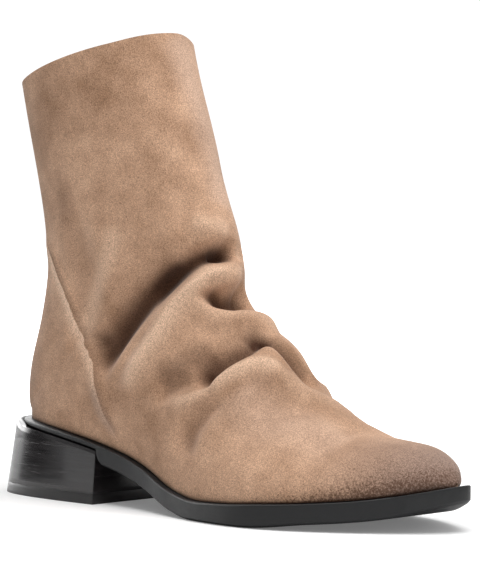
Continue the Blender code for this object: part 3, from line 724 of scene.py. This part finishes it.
def make_suede():
    """The suede with its cut edge. Its masks of painted light and shade and of burnish go by mm along and over
    the sole.
    """
    # Rows of points by section number, closest together where the folds are.
    numbers = np.concatenate([np.linspace(0, 1, 7)[:-1], np.arange(1, 6, 0.125), np.arange(6, 8, 1 / 10),
                              np.arange(8, 16, 1 / 17), np.arange(16, 22, 1 / 9), [22.0]])
    columns = 169
    grid, flat, normal, depth = upper_grid(numbers, columns)
    grid = softened(grid, 4)
    closed = int(np.searchsorted(numbers, CLOSED_FROM - 1e-6))
    faces = grid_faces(len(numbers), columns, closed)
    piece = new_piece("upper_suede", grid, faces, [SUEDE_LOOK, EDGE_LOOK])
    x, z = grid[..., 0], grid[..., 2]
    above = z - tread_height(np.clip(x, 0, SOLE_LENGTH))
    masks = {
        # Painted light, laid on only by its strokes.
        "painted_light": np.zeros_like(x),
        # Painted shade, deepest where the folds press deepest, over some darker nap there.
        "trough": ease(depth, 1.5, 10.0) * 0.95,
        # Painted highlight, stronger the higher a ridge stands.
        "painted_highlight": ease(-depth, 0.5, 4.0) * 0.25,
        "burnish": (0.55 * ease(x, 200, 238) + 0.35 * ease(x, 226, 250)
                    + 0.25 * ease(x, 45, 5) * ease(z, 100, 40)),
        "scorch": (0.8 * ease(above, 15, 1) * ease(x, 150, 235) + 0.4 * ease(x, 196, 252)
                   + 0.2 * ease(above, 5, 0)),
        # Dark edge line along the sole, partly painted shade of the crease between suede and sole.
        "sole_line_and_shade": ease(above, 1.6, 0.4) * 0.85 * (np.arange(len(numbers))[:, None] < closed + 4),
    }
    for name, strokes in STROKES.items():
        masks[name] = masks[name] + sum(
            strength * line_weight(flat, normal, *rest) for _, strength, *rest in strokes)
    for name, values in masks.items():
        layer = piece.data.attributes.new(name, "FLOAT", "POINT")
        layer.data.foreach_set("value", np.clip(values, 0, 1).astype(np.float32).ravel())
    work = bmesh.new()
    work.from_mesh(piece.data)
    loose = [v for v in work.verts if not v.link_faces]
    bmesh.ops.delete(work, geom=loose, context="VERTS")
    bmesh.ops.recalc_face_normals(work, faces=work.faces)
    work.to_mesh(piece.data)
    work.free()
    wall = piece.modifiers.new("wall", "SOLIDIFY")
    wall.thickness = SUEDE * MM
    wall.offset = -1
    wall.material_offset_rim = 1
    settled(piece, SUEDE_BEND)
    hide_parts("upper")
    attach(piece, "root")


def make_lining():
    numbers = np.concatenate([np.arange(2.5, 8, 0.25), np.arange(8, 16, 0.1),
                              np.arange(16, 21.9, 0.25), [21.94]])
    columns = 121
    grid = upper_grid(numbers, columns, SUEDE + LINING_GAP)[0]
    grid = softened(grid, 2)
    closed = int(np.searchsorted(numbers, CLOSED_FROM - 1e-6))
    piece = new_piece("shaft_lining", grid, grid_faces(len(numbers), columns, closed), [LINING_LOOK])
    tidy_mesh(piece)
    wall = piece.modifiers.new("wall", "SOLIDIFY")
    wall.thickness = LINING * MM
    wall.offset = -1
    settled(piece, SUEDE_BEND)
    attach(piece, "root")


# Sole and heel


def block(name, levels, look):
    """A closed solid through outlines one above the other, each x, outer y, inner y and z along the foot."""
    count = len(levels[0][0])
    points, faces = [], []
    for x, lateral, medial, z in levels:
        points += list(zip(x, lateral, z)) + list(zip(x, medial, z))
    for level in range(len(levels) - 1):
        low, high = level * 2 * count, (level + 1) * 2 * count
        for side in (0, count):
            for i in range(count - 1):
                faces.append((low + side + i, low + side + i + 1, high + side + i + 1, high + side + i))
    for base in (0, (len(levels) - 1) * 2 * count):
        for i in range(count - 1):
            faces.append((base + i, base + i + 1, base + count + i + 1, base + count + i))
    return new_piece(name, points, faces, [look])


def stations(inset, until=None, count=150, extra=(), toe=0.0):
    """Points along an outline, closer together at its ends: x, and y of the outer and the inner side."""
    xs, lateral, medial = outline(inset, toe)
    if until is None:
        x = xs[0] + (xs[-1] - xs[0]) * (1 - np.cos(np.pi * np.linspace(0, 1, count))) / 2
    else:
        x = xs[0] + (until - xs[0]) * (1 - np.cos(np.pi / 2 * np.linspace(0, 1, count)))
    x = np.sort(np.append(x, extra))
    return x, np.interp(x, xs, lateral), np.interp(x, xs, medial)


def sole_bottom(x):
    """Height of the sole's underside: flat at the ball, sprung at the toe, thin over the heel."""
    share = x / SOLE_LENGTH
    under = np.maximum(tread_height(x) - SOLE_THICK, 0.0)
    under = under * np.where(share > FLAT_MIDDLE, ease(share, *FLAT_TO), 1.0)
    under = under + TOE_THIN * ease(share, THIN_FROM, 1.0)
    step = np.clip((x - STEP_X) / STEP_LONG, 0, 1)
    return under + (SOLE_THICK - RAND_THICK) * (1 - np.sqrt(1 - (1 - step) ** 2))


# The sole's side from under to over: distance inside the outline, the edge it goes by, and height over that.
SOLE_SIDE = (
    (4.0, "low", 0.0), (2.2, "low", 0.0), (1.0, "low", 0.45), (0.2, "low", RIM_LIFT - 0.1),
    (-0.1, "low", RIM_LIFT + 0.2), (-0.15, "high", -1.0), (-0.1, "high", -0.4), (0.05, "high", -0.12),
    (0.3, "high", 0.0), (WELT + 2.0, "high", 0.0),
)


def make_sole():
    steps = STEP_X + np.linspace(0, STEP_LONG, 14)
    rings = []
    for inset, edge, rise in SOLE_SIDE:
        x, lateral, medial = stations(inset, extra=steps)
        z = (tread_height(x) if edge == "high" else sole_bottom(x)) + rise
        rings.append((x, lateral, medial, z))
    piece = block("sole_rubber", rings, SOLE_LOOK)
    tidy_mesh(piece)
    settled(piece, RUBBER_BEND)
    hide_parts("outsole")
    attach(piece, "root")


def heel_ring(share, low, high):
    """One outline round the heel, at a share of its height. Where high is none, it ends under the sole."""
    x, lateral, medial = stations(HEEL_IN, until=BREAST_X, count=90)
    fall = np.clip(1 - x / BREAST_X, 0, 1)
    top = tread_height(x + HEEL_LEDGE_X * fall + BREAST_LEAN * (1 - fall)) - RAND_THICK - HEEL_GAP
    z = low + ((top if high is None else np.full_like(top, high)) - low) * share
    tall = z / top
    back = HEEL_BACK + (HEEL_LEDGE_X - HEEL_BACK) * tall
    shifted = x + back * fall + BREAST_LEAN * tall * (1 - fall)
    out = HEEL_FLARE * (1 - tall) + HEEL_SWELL * fall ** 3
    centre = (lateral + medial) / 2
    swell = np.clip((medial - lateral) / 8, 0, 1) * out
    return shifted, np.minimum(lateral - swell, centre), np.maximum(medial + swell, centre), z


def cupped(ring):
    """Raises the heel's top behind the sole's edge and steps it down inside: the ring and two more."""
    x, lateral, medial, z = ring
    flat_x = stations(HEEL_IN, until=BREAST_X, count=len(x))[0]
    raised = ease(1 - flat_x / BREAST_X, *CUP_SPAN)
    inner_x = flat_x + BREAST_LEAN * flat_x / BREAST_X - CUP_BACK * raised
    clear, under = outline(-CUP_CLEAR), outline(UNDER_SOLE)
    sides = [raised * np.interp(inner_x, clear[0], clear[i])
             + (1 - raised) * np.interp(inner_x, under[0], under[i]) for i in (1, 2)]
    return [(x, lateral, medial, z + CUP_RISE * raised), (inner_x, *sides, z + CUP_RISE * raised - 0.15),
            (inner_x, *sides, z - 0.3)]


def make_heel(name, node, look, low, high, levels):
    rings = [heel_ring(share, low, high) for share in np.linspace(0, 1, levels)]
    if high is None:
        rings[-1:] = cupped(rings[-1])
        levels += 2
    piece = block(name, rings, look)
    count = len(rings[0][0])
    work = bmesh.new()
    work.from_mesh(piece.data)
    work.verts.ensure_lookup_table()
    front = [count - 1 + side + level * 2 * count for level in range(levels) for side in (0, count)]
    for level in range(levels - 1):
        a, b, c, d = front[2 * level:2 * level + 4]
        work.faces.new([work.verts[i] for i in (a, b, d, c)])
    work.to_mesh(piece.data)
    work.free()
    tidy_mesh(piece)
    bevel = piece.modifiers.new("worn_edges", "BEVEL")
    bevel.width = HEEL_BEVEL * MM
    bevel.segments = 2
    bevel.limit_method = "ANGLE"
    bevel.angle_limit = math.radians(50)
    settled(piece, HEEL_BEND)
    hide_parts(node)
    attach(piece, "root")


def make_insole():
    rings = []
    for inset, height in ((0.3, 0.0), (0.0, 0.5), (0.0, INSOLE_THICK - 0.5), (0.4, INSOLE_THICK - 0.1),
                          (1.0, INSOLE_THICK)):
        x, lateral, medial = stations(WELT + INSOLE_IN + inset, count=110, toe=TOE_WELT)
        rings.append((x, lateral, medial, tread_height(x) + GAP + height))
    piece = block("sock_insole", rings, SOCK_LOOK)
    tidy_mesh(piece)
    settled(piece, RUBBER_BEND)
    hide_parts("insole")
    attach(piece, "root")


make_suede()
make_lining()
make_sole()
make_heel("heel_polished", "heel_block", HEEL_LOOK, LIFT_THICK + LIFT_SEAM[1], None, 12)
make_heel("heel_lift", "top_lift", LIFT_LOOK, 0.0, LIFT_THICK - LIFT_SEAM[0], 4)
make_insole()


# Floor, light and camera


def vectors(tree, operation, inputs):
    return add(tree, "ShaderNodeVectorMath", inputs, operation=operation).outputs


def level_dot(tree, where, degrees):
    """How much a direction, laid level, points the way of an angle counted from the toe's."""
    level = vectors(tree, "MULTIPLY", {0: where, 1: (1, 1, 0)})["Vector"]
    level = vectors(tree, "NORMALIZE", {0: level})["Vector"]
    way = (math.cos(math.radians(degrees)), math.sin(math.radians(degrees)), 0)
    return vectors(tree, "DOT_PRODUCT", {0: level, 1: way})["Value"]


def make_floor():
    mesh = bpy.data.meshes.new("studio_floor")
    wide = 6.0
    corners = [(-wide, -wide, 0), (wide, -wide, 0), (wide, wide, 0), (-wide, wide, 0)]
    mesh.from_pydata(corners, [], [(0, 1, 2, 3)])
    made = bpy.data.objects.new("studio_floor", mesh)
    bpy.context.scene.collection.objects.link(made)
    look = bpy.data.materials.new("white_paper")
    look.use_nodes = True
    shader = look.node_tree.nodes["Principled BSDF"]
    shader.inputs["Roughness"].default_value = 0.9
    shader.inputs["Specular IOR Level"].default_value = 0.1
    tree = look.node_tree
    where = add(tree, "ShaderNodeTexCoord").outputs["Object"]
    far = vectors(tree, "LENGTH", {0: where})["Value"]
    shader.inputs["Emission Color"].default_value = (1, 1, 1, 1)
    sight = tree.nodes.new("ShaderNodeLightPath").outputs["Is Camera Ray"]
    # Painted light: the floor glows for the camera alone, white far off, and lightens the shadows near the
    # boot.
    painted_floor_light = times(tree, remap(tree, far, 0.2, 0.7, 0.15, 0.9), sight)
    card = remap(tree, level_dot(tree, where, DARK_WAY), 0.978, 0.990)
    card = times(tree, card, remap(tree, far, 0.18, 0.26))
    card = times(tree, card, maths(tree, "SUBTRACT", 1.0, sight))
    feed(tree, shader, "Base Color", mixed(tree, card, (0.93, 0.93, 0.93, 1), (0.03, 0.03, 0.03, 1)))
    feed(tree, shader, "Emission Strength", painted_floor_light)
    mesh.materials.append(look)


def area_light(name, place, aim, size, power):
    data = bpy.data.lights.new(name, "AREA")
    data.shape = "RECTANGLE"
    data.size, data.size_y = size
    data.energy = power
    lamp = bpy.data.objects.new(name, data)
    bpy.context.scene.collection.objects.link(lamp)
    lamp.location = place
    lamp.rotation_euler = (Vector(aim) - Vector(place)).to_track_quat("-Z", "Y").to_euler()


def make_light():
    world = bpy.data.worlds.new("white_studio")
    bpy.context.scene.world = world
    world.use_nodes = True
    background = world.node_tree.nodes["Background"]
    background.inputs["Color"].default_value = (1, 1, 1, 1)
    tree = world.node_tree
    sight = tree.nodes.new("ShaderNodeLightPath").outputs
    toward = add(tree, "ShaderNodeTexCoord").outputs["Generated"]
    flag, strip = level_dot(tree, toward, DARK_WAY), level_dot(tree, toward, BRIGHT_WAY)
    rightward = vectors(tree, "DOT_PRODUCT", {0: toward, 1: (0.6, 0.8, 0)})["Value"]
    shade = remap(tree, flag, 0.982, 0.994, 1.0, 0.0)
    around = times(tree, shade, remap(tree, rightward, -0.6, 0.9, 0.33, 0.75))
    strip = times(tree, remap(tree, strip, 0.86, 0.91, 0.0, 6.0), sight["Is Glossy Ray"])
    around = plus(tree, around, strip)
    strength = remap(tree, sight["Is Camera Ray"], 0.0, 1.0, around, 1.05)
    feed(tree, background, "Strength", strength)
    area_light("overhead_softbox", (0.3, -0.1, 1.25), (0, 0, 0.05), (1.1, 1.1), 16.0)
    scene = bpy.context.scene
    scene.view_settings.view_transform = "Standard"
    scene.view_settings.look = "None"


def make_camera():
    turn, lift, away = math.radians(45.0), math.radians(1.9), 1.153
    focal, picture_height, sensor = 2560.8, 587, 36   # the first two in pixels, the last in mm
    aim = Vector((0.0105, 0.0006, 0.0983))
    back = Vector((math.sin(turn) * math.cos(lift), -math.cos(turn) * math.cos(lift), math.sin(lift)))
    right = Vector((math.cos(turn), math.sin(turn), 0))
    up = back.cross(right)
    place = aim + back * away
    data = bpy.data.cameras.new("camera")
    data.sensor_width = sensor
    data.lens = focal * sensor / picture_height
    data.clip_start, data.clip_end = 0.05, 30
    camera = bpy.data.objects.new("camera", data)
    bpy.context.scene.collection.objects.link(camera)
    camera.matrix_world = Matrix(((right.x, up.x, back.x, place.x), (right.y, up.y, back.y, place.y),
                                  (right.z, up.z, back.z, place.z), (0, 0, 0, 1)))
    bpy.context.scene.camera = camera


make_floor()
make_light()
make_camera()
